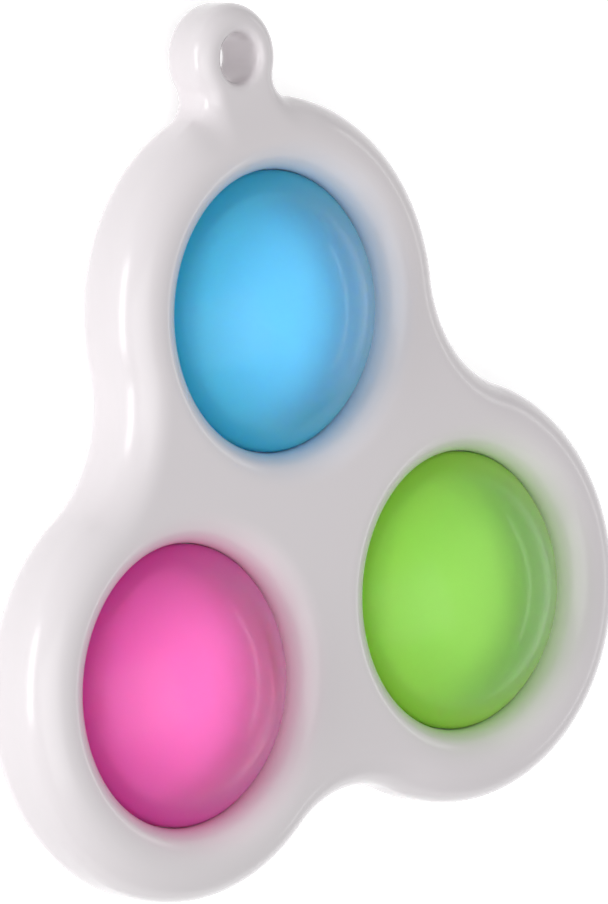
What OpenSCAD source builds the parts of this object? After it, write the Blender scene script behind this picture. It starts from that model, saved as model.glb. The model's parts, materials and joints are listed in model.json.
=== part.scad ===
// Bubble pop fidget toy: one moulded three-lobed frame with a key loop, and three
// silicone bubbles moulded onto a ledge inside its openings. It lies on its back,
// with the bubbles up and the loop towards +Y. Sizes are in millimetres.

/* [Frame] */
// Distance between the centres of two openings
lobe_spacing = 46; // [44:0.5:50]
// Outer radius of each lobe
lobe_r = 25.6; // [24.5:0.1:29]
// Radius of the hollow curve between two lobes
waist_r = 16; // [10:0.5:24]
// Thickness from back face to front face
frame_t = 11.6; // [10.8:0.1:16]
// Rounding of the outer edge, front and back
edge_r = 4.7; // [3:0.1:4.8]

/* [Openings] */
// Radius of the round openings
opening_r = 16.8; // [14:0.1:17.2]
// Rounding of the rim of each opening, front and back
opening_edge_r = 4; // [2:0.1:4.1]
// How far the hidden ledge stands in from the wall of its opening
ledge_w = 2.2; // [1.8:0.1:3.5]
// Thickness of the ledge
ledge_t = 1.2; // [0.8:0.1:2.2]
// Radius of the lock holes through the ledge
lock_hole_r = 0.65; // [0.4:0.05:0.8]
// Lock holes in each ledge
lock_holes = 12; // [6:1:20]

/* [Key loop] */
// Outer radius of the loop
loop_r = 6.5; // [6:0.1:8]
// Radius of the hole for the key ring
loop_hole_r = 3; // [2:0.1:3.2]
// Distance from the centre of the top opening to the centre of the loop
loop_reach = 30.6; // [30:0.1:34]
// Thickness of the loop
loop_t = 7.2; // [5.8:0.1:9]
// Rounding of the outer edge of the loop and its neck
loop_edge_r = 2.4; // [1.5:0.1:2.5]
// Rounding of the rim of the hole in the loop
loop_rim_r = 1; // [0.5:0.1:1.2]
// Radius of the hollow corner where the loop meets its lobe
neck_r = 2.5; // [1.5:0.1:4]
// Radius of the hollow where the neck rises to the face of its lobe
shoulder_r = 3; // [1:0.1:3.4]

/* [Bubbles] */
// Height of the dome above its straight foot
dome_h = 9; // [6:0.1:12]
// Height of the straight foot, where the dome leaves its rim
foot_h = 0.5; // [0.2:0.1:1.5]
// Wall of the dome
dome_wall = 1.2; // [0.8:0.1:1.8]
// Silicone over and under the ledge
rim_skin = 0.8; // [0.5:0.1:1.4]
// Silicone on the inner side of the ledge
rim_inner = 1.1; // [0.8:0.1:1.8]

/* [Clearances] */
// Gap between a bubble and the wall of its opening
wall_gap = 0.1; // [0.05:0.01:0.3]
// Gap between a bubble and its ledge, and in the lock holes
ledge_gap = 0.1; // [0.05:0.01:0.2]

/* [Hidden] */
$fn = 96;

// How far a cutter runs past the face that it cuts
over = 1;
// How far a hollow curve runs into the round edge that it meets
run_in = 0.05;

// Centres, from the middle of the three openings
centre_r = lobe_spacing / sqrt(3);
blue_at = centre_r * [cos(90), sin(90)];
green_at = centre_r * [cos(-30), sin(-30)];
pink_at = centre_r * [cos(210), sin(210)];
loop_at = blue_at + [0, loop_reach];

// Waists: their round cutters meet both lobes beside them
waist_gap = lobe_r + waist_r - run_in;
waist_reach = sqrt(pow(waist_gap, 2) - pow(lobe_spacing / 2, 2)) + centre_r / 2;
waist_angles = [30, 150, 270];
waist_at = [for (a = waist_angles) waist_reach * [cos(a), sin(a)]];

// Neck: its round cutters meet the loop and the lobe
neck_to_lobe = lobe_r + neck_r - 3 * run_in;
neck_to_loop = loop_r + neck_r - run_in;
neck_along = (pow(neck_to_lobe, 2) - pow(neck_to_loop, 2) + pow(loop_reach, 2)) / (2 * loop_reach);
neck_aside = sqrt(pow(neck_to_lobe, 2) - pow(neck_along, 2));
neck_right = blue_at + [neck_aside, neck_along];
neck_left = blue_at + [-neck_aside, neck_along];

// Shoulder: a hollow ring round the top lobe that meets its edge and the neck
loop_lift = (frame_t - loop_t) / 2;
shoulder_z = frame_t - loop_lift + shoulder_r - run_in;
edge_centre = [lobe_r - edge_r, frame_t - edge_r];
shoulder_rise = shoulder_z - edge_centre.y;
shoulder_gap = edge_r + shoulder_r - run_in;
shoulder_x = edge_centre.x + sqrt(pow(shoulder_gap, 2) - pow(shoulder_rise, 2));

// Bubble: all heights from the middle of the frame's thickness
mid_z = frame_t / 2;
channel_h = ledge_t / 2 + ledge_gap;
rim_h = channel_h + rim_skin;
rim_r = opening_r - wall_gap;
channel_r = opening_r - ledge_w - ledge_gap;
rim_bore_r = channel_r - rim_inner;
dome_r = (pow(rim_r, 2) + pow(dome_h, 2)) / (2 * dome_h);
dome_z = rim_h + foot_h + dome_h - dome_r;
lock_ring_r = opening_r - ledge_w / 2;

// Section of a disc with rounded edges, from its axis outwards
module disc_section(r, t, e) {
    square([r - e, t]);
    translate([0, e]) square([r, t - 2 * e]);
    for (z = [e, t - e]) translate([r - e, z]) circle(e);
}

// Section of what a hole with rounded rims takes away
module hole_section(r, t, e) {
    difference() {
        translate([0, -over]) square([r + e, t + 2 * over]);
        translate([r, e]) square([e + over, t - 2 * e]);
        for (z = [e, t - e]) translate([r + e, z]) circle(e);
    }
}

// A disc with rounded edges
module round_disc(r, t, e) {
    rotate_extrude() disc_section(r, t, e);
}

// What a round-rimmed hole takes away
module round_hole(r, t, e) {
    rotate_extrude() hole_section(r, t, e);
}

// Middle of the body between the lobes, hollowed by the three waists
module body_core() {
    difference() {
        linear_extrude(frame_t)
            polygon([blue_at, waist_at[1], pink_at, waist_at[2], green_at, waist_at[0]]);
        for (p = waist_at) translate(p) round_hole(waist_r, frame_t, edge_r);
    }
}

// One lobe, round the opening at p
module lobe(p) translate(p) round_disc(lobe_r, frame_t, edge_r);

// Section of one shoulder, which fills the corner between lobe edge and neck
module shoulder_section() {
    difference() {
        polygon([
            edge_centre,
            [shoulder_x, shoulder_z],
            [shoulder_x, edge_centre.y]
        ]);
        translate([shoulder_x, shoulder_z]) circle(shoulder_r);
    }
}

// Key loop and neck, with the hollow corners on both sides
module loop_and_neck() {
    neck_half = atan2(neck_aside, neck_along);
    translate([0, 0, loop_lift]) {
        translate(loop_at) round_disc(loop_r, loop_t, loop_edge_r);
        difference() {
            linear_extrude(loop_t) polygon([blue_at, neck_right, loop_at, neck_left]);
            for (p = [neck_right, neck_left]) translate(p) round_hole(neck_r, loop_t, loop_edge_r);
        }
    }
    difference() {
        translate(blue_at) for (side = [0, 1])
            translate([0, 0, side * frame_t]) mirror([0, 0, side])
                rotate(90 - neck_half) rotate_extrude(angle = 2 * neck_half) shoulder_section();
        for (p = [neck_right, neck_left]) translate([p.x, p.y, -over])
            cylinder(r = neck_r + loop_edge_r + run_in, h = frame_t + 2 * over);
    }
}

// Hidden ledge in one opening, with its ring of lock holes
module ledge() {
    translate([0, 0, mid_z - ledge_t / 2]) difference() {
        cylinder(r = opening_r + over, h = ledge_t);
        translate([0, 0, -over]) cylinder(r = opening_r - ledge_w, h = ledge_t + 2 * over);
        for (i = [0 : lock_holes - 1]) rotate(i * 360 / lock_holes)
            translate([lock_ring_r, 0, -over]) cylinder(r = lock_hole_r, h = ledge_t + 2 * over);
    }
}

// The whole frame, one moulding
module frame() color("#F1EFF1") {
    difference() {
        union() {
            body_core();
            lobe(blue_at);
            lobe(green_at);
            lobe(pink_at);
            loop_and_neck();
        }
        for (p = [blue_at, green_at, pink_at])
            translate(p) round_hole(opening_r, frame_t, opening_edge_r);
        translate([loop_at.x, loop_at.y, loop_lift]) round_hole(loop_hole_r, loop_t, loop_rim_r);
    }
    for (p = [blue_at, green_at, pink_at]) translate(p) ledge();
}

// Section of a bubble: a thin dome and foot on a rim that grips the ledge in a channel
module bubble_section() {
    difference() {
        union() {
            intersection() {
                translate([0, dome_z]) circle(dome_r);
                translate([0, rim_h + foot_h]) square([dome_r, dome_h + over]);
            }
            translate([0, rim_h]) square([rim_r, foot_h]);
        }
        translate([0, dome_z]) circle(dome_r - dome_wall);
    }
    difference() {
        translate([rim_bore_r, -rim_h]) square([rim_r - rim_bore_r, 2 * rim_h]);
        translate([channel_r, -channel_h]) square([ledge_w + over, 2 * channel_h]);
    }
}

// One bubble, with the studs that fill the lock holes
module bubble() {
    translate([0, 0, mid_z]) {
        rotate_extrude() bubble_section();
        for (i = [0 : lock_holes - 1]) rotate(i * 360 / lock_holes)
            translate([lock_ring_r, 0, -rim_h + rim_skin / 2])
                cylinder(r = lock_hole_r - ledge_gap, h = 2 * rim_h - rim_skin);
    }
}

module blue_bubble() color("#46A5DB") translate(blue_at) bubble();
module green_bubble() color("#86C64C") translate(green_at) bubble();
module pink_bubble() color("#D64C98") translate(pink_at) bubble();

frame();
blue_bubble();
green_bubble();
pink_bubble();
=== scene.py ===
import json
import math

import bmesh
import bpy
import numpy as np
import openvdb
from mathutils import Matrix, Vector


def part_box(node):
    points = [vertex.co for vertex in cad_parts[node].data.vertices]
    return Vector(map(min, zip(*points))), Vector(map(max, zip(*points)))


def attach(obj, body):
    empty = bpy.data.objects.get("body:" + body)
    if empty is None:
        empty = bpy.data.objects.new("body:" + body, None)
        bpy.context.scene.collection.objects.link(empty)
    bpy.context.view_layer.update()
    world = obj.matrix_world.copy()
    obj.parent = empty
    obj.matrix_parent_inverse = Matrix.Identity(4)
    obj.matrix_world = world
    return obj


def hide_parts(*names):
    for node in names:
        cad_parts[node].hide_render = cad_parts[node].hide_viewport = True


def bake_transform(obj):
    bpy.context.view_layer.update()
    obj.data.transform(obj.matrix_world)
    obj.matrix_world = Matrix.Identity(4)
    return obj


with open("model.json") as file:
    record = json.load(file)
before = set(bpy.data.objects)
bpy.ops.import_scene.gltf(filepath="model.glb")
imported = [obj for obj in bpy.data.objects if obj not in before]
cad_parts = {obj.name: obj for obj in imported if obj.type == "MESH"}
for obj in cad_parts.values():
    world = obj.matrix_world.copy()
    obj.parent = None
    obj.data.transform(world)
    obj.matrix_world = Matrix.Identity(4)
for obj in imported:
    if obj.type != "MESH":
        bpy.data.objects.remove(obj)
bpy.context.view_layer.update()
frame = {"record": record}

MM = 0.001
COLOURS = ("blue", "green", "pink")

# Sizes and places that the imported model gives, in metres
frame_low, frame_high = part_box("frame")
frame_t = frame_high.z - frame_low.z
mid_z = (frame_high.z + frame_low.z) / 2
bubble_box = {c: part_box(c + "_bubble") for c in COLOURS}
centre = {c: (low + high) / 2 for c, (low, high) in bubble_box.items()}
bubble_low, bubble_high = bubble_box["blue"]
rim_r = (bubble_high.x - bubble_low.x) / 2
rim_h = mid_z - bubble_low.z
crown_z = bubble_high.z
mounts = {m["name"]: m for m in frame["record"]["mounts"]}
loop_centre = Vector(mounts["loop_hole"]["pos_m"])
loop_hole_r = mounts["loop_hole"]["dims"]["r_mm"] * MM
lobe_spacing = centre["green"].x - centre["pink"].x
lobe_r = frame_high.x - centre["green"].x
loop_r = frame_high.y - loop_centre.y
top_lobe = centre["blue"]

# Sizes of the moulded frame
WAIST_R = 16 * MM
EDGE_R = 4.7 * MM
OPENING_R = 16.8 * MM
OPENING_EDGE_R = 4 * MM
LOOP_T = 7.2 * MM
LOOP_EDGE_R = 2.4 * MM
LOOP_RIM_R = 1 * MM
NECK_R = 2.5 * MM
LEDGE_W = 2.2 * MM
LEDGE_T = 1.2 * MM
LEDGE_BITE = 1 * MM
LOCK_HOLE_R = 0.65 * MM
LOCK_HOLES = 12
LOCK_RING_R = OPENING_R - LEDGE_W / 2

# Where the frame thins into its neck: start and end, from the top opening's centre
# towards the loop, and the half widths between which the thinning fades out
NECK_START = 19.5 * MM
NECK_END = 26.6 * MM
NECK_HALF = 6.5 * MM
NECK_FADE = 12 * MM

# Sizes of a bubble
DOME_WALL = 1.2 * MM
FOOT_H = 0.5 * MM
RIM_SKIN = 0.8 * MM
RIM_INNER = 1.1 * MM
LEDGE_GAP = 0.1 * MM

# Width and height of the faint waves in the moulded plastic
WAVE_W = 9 * MM
WAVE_H = 0.05 * MM

# How far light spreads inside the silicone
GLOW_DEPTH = 3 * MM

# How the silicone clears towards the crown: the height above the rim where it starts,
# and the shares of light that it lets through at the foot and at the crown
CLEAR_FROM = 1.2 * MM
CLEAR_LEAST = 0.2
CLEAR_MOST = 0.6

# How the frame's surface is found: the size of a cell, the cells kept on either side of it,
# how often its corners are moved onto the exact shape, and the least squared slope that
# a move is worked out with
VOXEL = 0.52 * MM
VOXEL_MARGIN = 3
FIT_PASSES = 6
SLOPE_LEAST = 0.2

# Points in a whole turn, in an arc and round a lock hole, and the distance within which
# points become one
ROUND_STEPS = 144
ARC_STEPS = 40
HOLE_STEPS = 24
WELD = 0.002 * MM

# The angles in degrees from which an edge stays sharp in the shading
FRAME_CREASE = 40
BUBBLE_CREASE = 35


def linear(hex_colour):
    """sRGB hex to a linear colour with alpha."""
    parts = [int(hex_colour[i:i + 2], 16) / 255 for i in (1, 3, 5)]
    return [p / 12.92 if p <= 0.04045 else ((p + 0.055) / 1.055) ** 2.4 for p in parts] + [1]


def add(tree, kind, values=None, links=None, **settings):
    """Adds a node: values and links are given by socket, settings are the node's own."""
    node = tree.nodes.new(kind)
    for name, value in settings.items():
        setattr(node, name, value)
    for socket, value in (values or {}).items():
        node.inputs[socket].default_value = value
    for socket, source in (links or {}).items():
        tree.links.new(source, node.inputs[socket])
    return node


def new_object(name, data):
    """Puts a mesh, a lamp or a camera in the scene as an object at the origin."""
    piece = bpy.data.objects.new(name, data)
    bpy.context.scene.collection.objects.link(piece)
    return piece


# Materials

def new_material(name):
    """A new material with its tree and its Principled shader."""
    mat = bpy.data.materials.new(name)
    mat.use_nodes = True
    return mat, mat.node_tree, mat.node_tree.nodes["Principled BSDF"]


def white_abs():
    """ABS from a polished injection mould: an even white with a soft, faintly wavy gloss."""
    mat, tree, shader = new_material("white moulded ABS")
    shader.inputs["Base Color"].default_value = linear("#F2ECEF")
    shader.inputs["Roughness"].default_value = 0.22
    shader.inputs["IOR"].default_value = 1.54
    coords = add(tree, "ShaderNodeTexCoord")
    flow = add(tree, "ShaderNodeTexNoise", {"Scale": 1 / WAVE_W, "Detail": 2},
               {"Vector": coords.outputs["Object"]})
    bump = add(tree, "ShaderNodeBump", {"Strength": 0.12, "Distance": WAVE_H},
               {"Height": flow.outputs["Fac"]})
    tree.links.new(bump.outputs["Normal"], shader.inputs["Normal"])
    return mat


def silicone(name, foot, crown, glow):
    """Moulded silicone: satin with a thin glossier skin, and clearer towards its thin crown. Its colour
    runs from foot to crown by height: partly the silicone's own colour, partly painted light, with the
    foot colour made lighter against the shade round the foot."""
    mat, tree, shader = new_material(name)
    coords = add(tree, "ShaderNodeTexCoord")
    split = add(tree, "ShaderNodeSeparateXYZ", None, {"Vector": coords.outputs["Object"]})
    height = add(tree, "ShaderNodeMapRange", {"From Min": mid_z + rim_h, "From Max": crown_z},
                 {"Value": split.outputs["Z"]}, interpolation_type="SMOOTHSTEP")
    # Colour by height, partly the silicone's own and partly painted light: the foot colour is made lighter
    # to stand in for light that the shade round the foot takes away
    # A Mix node has its two colours at inputs 6 and 7, and their mix at output 2
    tone_and_painted_light = add(tree, "ShaderNodeMix", {6: linear(foot), 7: linear(crown)},
               {0: height.outputs["Result"]}, data_type="RGBA")
    clear = add(tree, "ShaderNodeMapRange",
                {"From Min": mid_z + rim_h + CLEAR_FROM, "From Max": crown_z,
                 "To Min": CLEAR_LEAST, "To Max": CLEAR_MOST},
                {"Value": split.outputs["Z"]}, interpolation_type="SMOOTHSTEP")
    tree.links.new(tone_and_painted_light.outputs[2], shader.inputs["Base Color"])
    tree.links.new(clear.outputs["Result"], shader.inputs["Transmission Weight"])
    shader.inputs["Roughness"].default_value = 0.35
    shader.inputs["IOR"].default_value = 1.41
    shader.inputs["Specular IOR Level"].default_value = 0.2
    shader.inputs["Coat Weight"].default_value = 0.32
    shader.inputs["Coat Roughness"].default_value = 0.13
    shader.inputs["Coat IOR"].default_value = 1.41
    shader.inputs["Subsurface Weight"].default_value = 0.9
    shader.inputs["Subsurface Radius"].default_value = glow
    shader.inputs["Subsurface Scale"].default_value = GLOW_DEPTH
    return mat


# The moulded frame

def smoothstep(low, high, value):
    """0 below low, 1 above high, smooth between."""
    share = np.clip((value - low) / (high - low), 0, 1)
    return share * share * (3 - 2 * share)


def lobe_outline(x, y):
    """Distance in plan to the outline of three lobes and three waists, negative inside."""
    # How far the centres of the lobes and of the waists lie from the middle
    reach = lobe_spacing / math.sqrt(3)
    waist = math.sqrt((lobe_r + WAIST_R) ** 2 - (lobe_spacing / 2) ** 2) + reach / 2
    # Each point is folded into the sixth of the shape between one lobe and one waist
    third = 2 * math.pi / 3
    turn = np.abs((np.arctan2(x, y) + third / 2) % third - third / 2)
    radius = np.hypot(x, y)
    aside, along = radius * np.sin(turn), radius * np.cos(turn)
    waist_aside, waist_along = waist * math.sin(third / 2), waist * math.cos(third / 2)
    beside_waist = aside * (waist_along - reach) - (along - reach) * waist_aside > 0
    to_lobe = np.hypot(aside, along - reach) - lobe_r
    to_waist = WAIST_R - np.hypot(aside - waist_aside, along - waist_along)
    return np.where(beside_waist, to_waist, to_lobe)


def whole_outline(x, y):
    """The same with the neck and the key loop."""
    aside, along = np.abs(x), y - top_lobe.y
    reach = loop_centre.y - top_lobe.y
    to_lobe, to_loop = lobe_r + NECK_R, loop_r + NECK_R
    # Centre of the hollow corner between the loop and its lobe
    neck_along = (to_lobe ** 2 - to_loop ** 2 + reach ** 2) / (2 * reach)
    neck_aside = math.sqrt(to_lobe ** 2 - neck_along ** 2)
    in_neck = (aside * neck_along - along * neck_aside < 0) & (along > 0)
    past_neck = (aside * (neck_along - reach) - (along - reach) * neck_aside < 0) & (along > 0)
    to_neck = NECK_R - np.hypot(aside - neck_aside, along - neck_along)
    plan = np.where(in_neck, to_neck, lobe_outline(x, y))
    return np.where(past_neck, np.hypot(aside, along - reach) - loop_r, plan)


def slab(plan, z, thickness, edge):
    """Distance to a plan shape given thickness and round edges."""
    beyond, above = plan + edge, np.abs(z - mid_z) - (thickness / 2 - edge)
    outside = np.hypot(np.maximum(beyond, 0), np.maximum(above, 0))
    return outside + np.minimum(np.maximum(beyond, above), 0) - edge


def frame_distance(points):
    """Distance to the frame without its hidden ledges, negative inside."""
    x, y, z = points.T
    along = smoothstep(NECK_START, NECK_END, y - top_lobe.y)
    thin = along * smoothstep(-NECK_FADE, -NECK_HALF, -np.abs(x))
    thickness = frame_t + (LOOP_T - frame_t) * thin
    edge = EDGE_R + (LOOP_EDGE_R - EDGE_R) * thin
    shape = slab(whole_outline(x, y), z, thickness, edge)
    for c in COLOURS:
        from_centre = np.hypot(x - centre[c].x, y - centre[c].y)
        shape = np.maximum(shape, slab(OPENING_R - from_centre, z, frame_t, OPENING_EDGE_R))
    from_loop = np.hypot(x - loop_centre.x, y - loop_centre.y)
    hole = np.maximum(shape, slab(loop_hole_r - from_loop, z, LOOP_T, LOOP_RIM_R))
    return np.where(from_loop < loop_hole_r + LOOP_RIM_R, hole, shape)


def frame_slope(points):
    """Which way the distance grows, at each point."""
    step = 0.01 * MM
    out = np.empty_like(points)
    for axis in range(3):
        shift = np.zeros(3)
        shift[axis] = step
        out[:, axis] = frame_distance(points + shift) - frame_distance(points - shift)
    return out / (2 * step)


def frame_shell():
    """Quads over the frame's surface, each corner moved onto the exact shape."""
    low = np.array(frame_low) - VOXEL_MARGIN * VOXEL
    counts = np.ceil((np.array(frame_high) - low) / VOXEL + VOXEL_MARGIN).astype(int)
    axes = [low[i] + VOXEL * np.arange(counts[i]) for i in range(3)]
    grid = np.stack(np.meshgrid(*axes, indexing="ij"), -1).reshape(-1, 3)
    values = np.clip(frame_distance(grid).reshape(counts) / VOXEL, -VOXEL_MARGIN, VOXEL_MARGIN)
    volume = openvdb.FloatGrid(VOXEL_MARGIN)
    volume.copyFromArray(values.astype(np.float32))
    points, quads = volume.convertToQuads()
    points = low + points.astype(float) * VOXEL
    for _ in range(FIT_PASSES):
        slope = frame_slope(points)
        steepness = np.maximum((slope ** 2).sum(1), SLOPE_LEAST)
        points -= slope * (frame_distance(points) / steepness)[:, None]
    mesh = bpy.data.meshes.new("frame_shell")
    mesh.from_pydata(points.tolist(), [], quads.tolist())
    return mesh


# Geometry node trees

def new_tree(name, inputs):
    """A geometry tree with a geometry input and named inputs given as (name, kind)."""
    tree = bpy.data.node_groups.new(name, "GeometryNodeTree")
    tree.interface.new_socket("Geometry", in_out="INPUT", socket_type="NodeSocketGeometry")
    tree.interface.new_socket("Geometry", in_out="OUTPUT", socket_type="NodeSocketGeometry")
    for title, kind in inputs:
        tree.interface.new_socket(title, in_out="INPUT", socket_type="NodeSocket" + kind)
    return tree, add(tree, "NodeGroupInput").outputs, add(tree, "NodeGroupOutput").inputs


def apply_tree(piece, tree, values):
    """Runs a tree on a piece with its inputs set by name, and keeps the result as a plain mesh."""
    modifier = piece.modifiers.new(tree.name, "NODES")
    modifier.node_group = tree
    for item in tree.interface.items_tree:
        if item.in_out == "INPUT" and item.name in values:
            modifier[item.identifier] = values[item.name]
    evaluated = piece.evaluated_get(bpy.context.evaluated_depsgraph_get())
    mesh = bpy.data.meshes.new_from_object(evaluated)
    piece.modifiers.remove(modifier)
    piece.data = mesh
    return piece


def finish_tree(tree, geometry, inputs, output):
    """Ends a tree: realized and given its material."""
    plain = add(tree, "GeometryNodeRealizeInstances", None, {"Geometry": geometry})
    dressed = add(tree, "GeometryNodeSetMaterial", None,
                  {"Geometry": plain.outputs[0], "Material": inputs["Material"]})
    tree.links.new(dressed.outputs[0], output)


def ledge_tree():
    """On each point a flat ring pierced by lock holes: circles filled and raised to a thickness."""
    tree, inputs, output = new_tree("ledge", [
        ("Outer Radius", "Float"), ("Inner Radius", "Float"), ("Thickness", "Float"),
        ("Hole Ring", "Float"), ("Hole Radius", "Float"), ("Holes", "Int"), ("Material", "Material")])
    rings = [add(tree, "GeometryNodeCurvePrimitiveCircle", {"Resolution": ROUND_STEPS},
                 {"Radius": inputs[side + " Radius"]}) for side in ("Outer", "Inner")]
    spots = add(tree, "GeometryNodeCurvePrimitiveCircle", None,
                {"Resolution": inputs["Holes"], "Radius": inputs["Hole Ring"]})
    hole = add(tree, "GeometryNodeCurvePrimitiveCircle", {"Resolution": HOLE_STEPS},
               {"Radius": inputs["Hole Radius"]})
    holes = add(tree, "GeometryNodeInstanceOnPoints", None,
                {"Points": spots.outputs[0], "Instance": hole.outputs[0]})
    loops = add(tree, "GeometryNodeJoinGeometry")
    for source in (holes, *rings):
        tree.links.new(source.outputs[0], loops.inputs[0])
    loose = add(tree, "GeometryNodeRealizeInstances", None, {"Geometry": loops.outputs[0]})
    flat = add(tree, "GeometryNodeFillCurve", None, {"Curve": loose.outputs[0]})
    raised = add(tree, "GeometryNodeExtrudeMesh", {"Individual": False},
                 {"Mesh": flat.outputs[0], "Offset Scale": inputs["Thickness"]})
    under = add(tree, "GeometryNodeFlipFaces", None, {"Mesh": flat.outputs[0]})
    both = add(tree, "GeometryNodeJoinGeometry")
    for source in (under, raised):
        tree.links.new(source.outputs[0], both.inputs[0])
    closed = add(tree, "GeometryNodeMergeByDistance", {"Distance": WELD},
                 {"Geometry": both.outputs[0]})
    ledges = add(tree, "GeometryNodeInstanceOnPoints", None,
                 {"Points": inputs["Geometry"], "Instance": closed.outputs[0]})
    finish_tree(tree, ledges.outputs[0], inputs, output[0])
    return tree


def bubble_tree():
    """A section turned about its axis, with a ring of studs standing in the lock holes."""
    tree, inputs, output = new_tree("bubble", [
        ("Rim Radius", "Float"), ("Stud Ring", "Float"), ("Stud Radius", "Float"),
        ("Stud Height", "Float"), ("Studs", "Int"), ("Centre", "Vector"), ("Material", "Material")])
    path = add(tree, "GeometryNodeCurvePrimitiveCircle", {"Resolution": ROUND_STEPS},
               {"Radius": inputs["Rim Radius"]})
    section = add(tree, "GeometryNodeMeshToCurve", None, {"Mesh": inputs["Geometry"]})
    turned = add(tree, "GeometryNodeCurveToMesh", None,
                 {"Curve": path.outputs[0], "Profile Curve": section.outputs[0]})
    closed = add(tree, "GeometryNodeMergeByDistance", {"Distance": WELD},
                 {"Geometry": turned.outputs[0]})
    spots = add(tree, "GeometryNodeCurvePrimitiveCircle", None,
                {"Resolution": inputs["Studs"], "Radius": inputs["Stud Ring"]})
    stud = add(tree, "GeometryNodeMeshCylinder", {"Vertices": HOLE_STEPS},
               {"Radius": inputs["Stud Radius"], "Depth": inputs["Stud Height"]})
    studs = add(tree, "GeometryNodeInstanceOnPoints", None,
                {"Points": spots.outputs[0], "Instance": stud.outputs[0]})
    both = add(tree, "GeometryNodeJoinGeometry")
    for source in (studs, closed):
        tree.links.new(source.outputs[0], both.inputs[0])
    placed = add(tree, "GeometryNodeTransform", None,
                 {"Geometry": both.outputs[0], "Translation": inputs["Centre"]})
    finish_tree(tree, placed.outputs[0], inputs, output[0])
    return tree


# Pieces

def arc(cx, cy, radius, start, end, steps):
    """Points along an arc, from one angle to another in radians."""
    return [(cx + radius * math.cos(a), cy + radius * math.sin(a)) for a in np.linspace(start, end, steps)]


def bubble_section():
    """Outline of a bubble's section as (radius, height above the frame's middle), crown to crown."""
    dome_base = rim_h + FOOT_H
    dome_h = crown_z - mid_z - dome_base
    dome_r = (rim_r ** 2 + dome_h ** 2) / (2 * dome_h)
    dome_z = dome_base + dome_h - dome_r
    inner_r = dome_r - DOME_WALL
    channel_h = LEDGE_T / 2 + LEDGE_GAP
    channel_r = OPENING_R - LEDGE_W - LEDGE_GAP
    bore_r = channel_r - RIM_INNER
    outside = arc(0, dome_z, dome_r, math.pi / 2, math.atan2(dome_base - dome_z, rim_r), ARC_STEPS)
    hollow = arc(0, dome_z, inner_r, math.asin((rim_h - dome_z) / inner_r), math.pi / 2, ARC_STEPS)
    rim = [(rim_r, rim_h), (rim_r, channel_h), (channel_r, channel_h), (channel_r, -channel_h),
           (rim_r, -channel_h), (rim_r, -rim_h), (bore_r, -rim_h), (bore_r, rim_h)]
    return outside + rim + hollow


def bubble_piece(colour, mat, tree):
    """One silicone bubble, turned from its section."""
    section = bubble_section()
    mesh = bpy.data.meshes.new(colour + "_section")
    mesh.from_pydata([(r - rim_r, -h, 0) for r, h in section],
                     [(i, i + 1) for i in range(len(section) - 1)], [])
    piece = new_object(colour + "_bubble_skin", mesh)
    spot = centre[colour]
    apply_tree(piece, tree, {
        "Rim Radius": rim_r, "Stud Ring": LOCK_RING_R, "Stud Radius": LOCK_HOLE_R - LEDGE_GAP,
        "Stud Height": 2 * rim_h - RIM_SKIN, "Studs": LOCK_HOLES,
        "Centre": (spot.x, spot.y, mid_z), "Material": mat})
    return piece


def smooth(mesh, angle):
    """Faces outwards and shaded smooth, except over edges sharper than an angle in degrees."""
    shape = bmesh.new()
    shape.from_mesh(mesh)
    bmesh.ops.recalc_face_normals(shape, faces=shape.faces)
    for face in shape.faces:
        face.smooth = True
    for edge in shape.edges:
        edge.smooth = edge.is_manifold and edge.calc_face_angle(0) < math.radians(angle)
    shape.to_mesh(mesh)
    shape.free()


def ledge_rings(mat):
    """The ledges of all openings, made on a point at the centre of each."""
    points = bpy.data.meshes.new("ledge_points")
    points.from_pydata([(spot.x, spot.y, mid_z - LEDGE_T / 2) for spot in centre.values()], [], [])
    rings = apply_tree(new_object("ledges", points), ledge_tree(), {
        "Outer Radius": OPENING_R + LEDGE_BITE, "Inner Radius": OPENING_R - LEDGE_W, "Thickness": LEDGE_T,
        "Hole Ring": LOCK_RING_R, "Hole Radius": LOCK_HOLE_R, "Holes": LOCK_HOLES, "Material": mat})
    mesh = rings.data
    bpy.data.objects.remove(rings)
    return mesh


def frame_piece(mat):
    """The one moulded frame: its shell, and the ledges inside its openings."""
    whole = bmesh.new()
    for part in (frame_shell(), ledge_rings(mat)):
        whole.from_mesh(part)
    mesh = bpy.data.meshes.new("moulded_frame")
    whole.to_mesh(mesh)
    whole.free()
    mesh.materials.append(mat)
    smooth(mesh, FRAME_CREASE)
    return new_object("moulded_frame", mesh)


abs_white = white_abs()

# The silicones: their colours at the foot and at the crown, with the foot colours made lighter as painted
# light against the shade round the foot, and how far red, green and blue light spread in them, as shares
# of the depth
silicones = {
    "blue": silicone("blue moulded silicone", "#47CBFF", "#6CCFFA", (0.25, 0.6, 1.0)),
    "green": silicone("green moulded silicone", "#AFF855", "#9CD75E", (0.5, 1.0, 0.25)),
    "pink": silicone("pink moulded silicone", "#FF58BA", "#FA78CA", (1.0, 0.3, 0.6)),
}

body = frame_piece(abs_white)
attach(body, "frame")
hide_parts("frame")

# The bubbles, each turned from its section with its rim in an opening of the frame; the crown above the
# rim is the part that pops through
turning = bubble_tree()
for c in COLOURS:
    skin = bubble_piece(c, silicones[c], turning)
    smooth(skin.data, BUBBLE_CREASE)
    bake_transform(skin)
    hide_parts(c + "_bubble")


# The stage: a pale floor that comes out white from above, apart from the part's shadow. It
# has a shallow well under each opening, out of sight at rest, because a popped crown
# reaches below the frame's back.
FLOOR_HALF = 3
WELL_R = 12 * MM
WELL_DEPTH = 4 * MM

# How bright the floor glows where the camera looks straight at it, and how bright the even
# light of the studio is
FLOOR_GLOW = 0.55
SKY_LIGHT = 0.33

# The point that the lamps face
LAMP_AIM = Vector((0, 0, 10 * MM))


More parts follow.
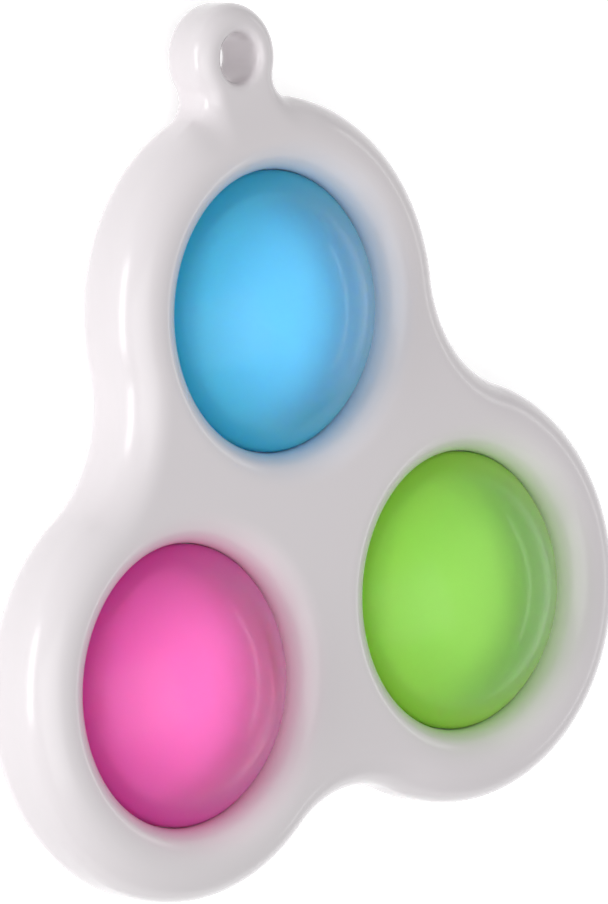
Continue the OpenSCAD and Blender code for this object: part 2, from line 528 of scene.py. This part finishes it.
def floor_piece():
    """A flat square with the wells."""
    shape = bmesh.new()
    square = ((-1, -1), (1, -1), (1, 1), (-1, 1))
    corners = [shape.verts.new((x * FLOOR_HALF, y * FLOOR_HALF, 0)) for x, y in square]
    rims = []
    for spot in centre.values():
        ring = arc(spot.x, spot.y, WELL_R, 0, 2 * math.pi, ARC_STEPS)[1:]
        rims.append([shape.verts.new((x, y, 0)) for x, y in ring])
    for loop in (corners, *rims):
        for i, corner in enumerate(loop):
            shape.edges.new((loop[i - 1], corner))
    bmesh.ops.triangle_fill(shape, edges=shape.edges[:], normal=(0, 0, 1))
    for rim in rims:
        bottom = [shape.verts.new((v.co.x, v.co.y, -WELL_DEPTH)) for v in rim]
        for i in range(len(rim)):
            shape.faces.new((rim[i - 1], rim[i], bottom[i], bottom[i - 1]))
        shape.faces.new(bottom)
    mesh = bpy.data.meshes.new("floor")
    shape.to_mesh(mesh)
    shape.free()
    return new_object("floor", mesh)


def ray_kinds(tree):
    """Light Path's camera ray, and its glossy and transmission rays added together."""
    rays = add(tree, "ShaderNodeLightPath").outputs
    sent_on = add(tree, "ShaderNodeMath", None,
                  {0: rays["Is Glossy Ray"], 1: rays["Is Transmission Ray"]})
    return rays["Is Camera Ray"], sent_on.outputs[0]


def pale_floor():
    """A matt floor that glows for the camera, and more in a gloss or behind a clear wall."""
    mat, tree, shader = new_material("pale floor")
    shader.inputs["Base Color"].default_value = linear("#F2F2F2")
    shader.inputs["Roughness"].default_value = 0.9
    shader.inputs["Specular IOR Level"].default_value = 0
    shader.inputs["Emission Color"].default_value = linear("#FFFFFF")
    from_camera, sent_on = ray_kinds(tree)
    straight = add(tree, "ShaderNodeMath", {1: FLOOR_GLOW}, {0: from_camera}, operation="MULTIPLY")
    glow = add(tree, "ShaderNodeMath", None, {0: sent_on, 1: straight.outputs[0]})
    tree.links.new(glow.outputs[0], shader.inputs["Emission Strength"])
    return mat


def studio():
    """A dim even light, white where the camera, a gloss or a clear wall looks at it."""
    world = bpy.data.worlds.new("studio")
    world.use_nodes = True
    tree = world.node_tree
    sky = tree.nodes["Background"]
    sky.inputs["Color"].default_value = linear("#FFFFFF")
    from_camera, sent_on = ray_kinds(tree)
    looked_at = add(tree, "ShaderNodeMath", None, {0: sent_on, 1: from_camera}, use_clamp=True)
    strength = add(tree, "ShaderNodeMapRange", {"To Min": SKY_LIGHT}, {"Value": looked_at.outputs[0]})
    tree.links.new(strength.outputs["Result"], sky.inputs["Strength"])
    return world


def lamp(name, place, width, height, power):
    """A soft rectangular lamp that faces the common aim."""
    data = bpy.data.lights.new(name, "AREA")
    data.shape = "RECTANGLE"
    data.size = width
    data.size_y = height
    data.energy = power
    soft_box = new_object(name, data)
    soft_box.location = place
    soft_box.rotation_euler = (LAMP_AIM - Vector(place)).to_track_quat("-Z", "Y").to_euler()


floor = floor_piece()
floor.data.materials.append(pale_floor())
bpy.context.scene.world = studio()
lamp("key", (-0.76, 0.218, 0.121), width=0.6, height=0.22, power=2.5)
lamp("front", (-0.353, -0.066, 0.665), width=0.7, height=0.7, power=2.0)
lamp("strip", (0.74, -0.12, 0.3), width=0.75, height=0.04, power=0.45)

# The camera: its direction and roll follow the photograph, with no shift. Its angles are in
# degrees, its lens and sensor in millimetres, and its distance, far limit and aim in metres.
CAMERA_AZIMUTH = 42.5
CAMERA_TILT = 11.0
CAMERA_ROLL = -8.5
CAMERA_DISTANCE = 1.362
CAMERA_FAR = 20
CAMERA_LENS = 456.6
CAMERA_SENSOR = 36
CAMERA_AIM = Vector((3.8 * MM, 8.4 * MM, mid_z))


def camera_axes():
    """Right, up and back axes of the camera, with +Y up before it is rolled."""
    azimuth, tilt, roll = (math.radians(v) for v in (CAMERA_AZIMUTH, CAMERA_TILT, CAMERA_ROLL))
    level = math.cos(tilt)
    back = Vector((-math.sin(azimuth) * level, math.sin(tilt), math.cos(azimuth) * level))
    right = Vector((0, 1, 0)).cross(back).normalized()
    up = back.cross(right)
    rolled_right = right * math.cos(roll) + up * math.sin(roll)
    rolled_up = up * math.cos(roll) - right * math.sin(roll)
    return rolled_right, rolled_up, back


camera_data = bpy.data.cameras.new("camera")
camera_data.lens = CAMERA_LENS
camera_data.sensor_width = CAMERA_SENSOR
camera_data.clip_end = CAMERA_FAR
camera = new_object("camera", camera_data)
right, up, back = camera_axes()
turned = Matrix((right, up, back)).transposed().to_4x4()
camera.matrix_world = Matrix.Translation(CAMERA_AIM + back * CAMERA_DISTANCE) @ turned
bpy.context.scene.camera = camera
bpy.context.scene.view_settings.view_transform = "Standard"
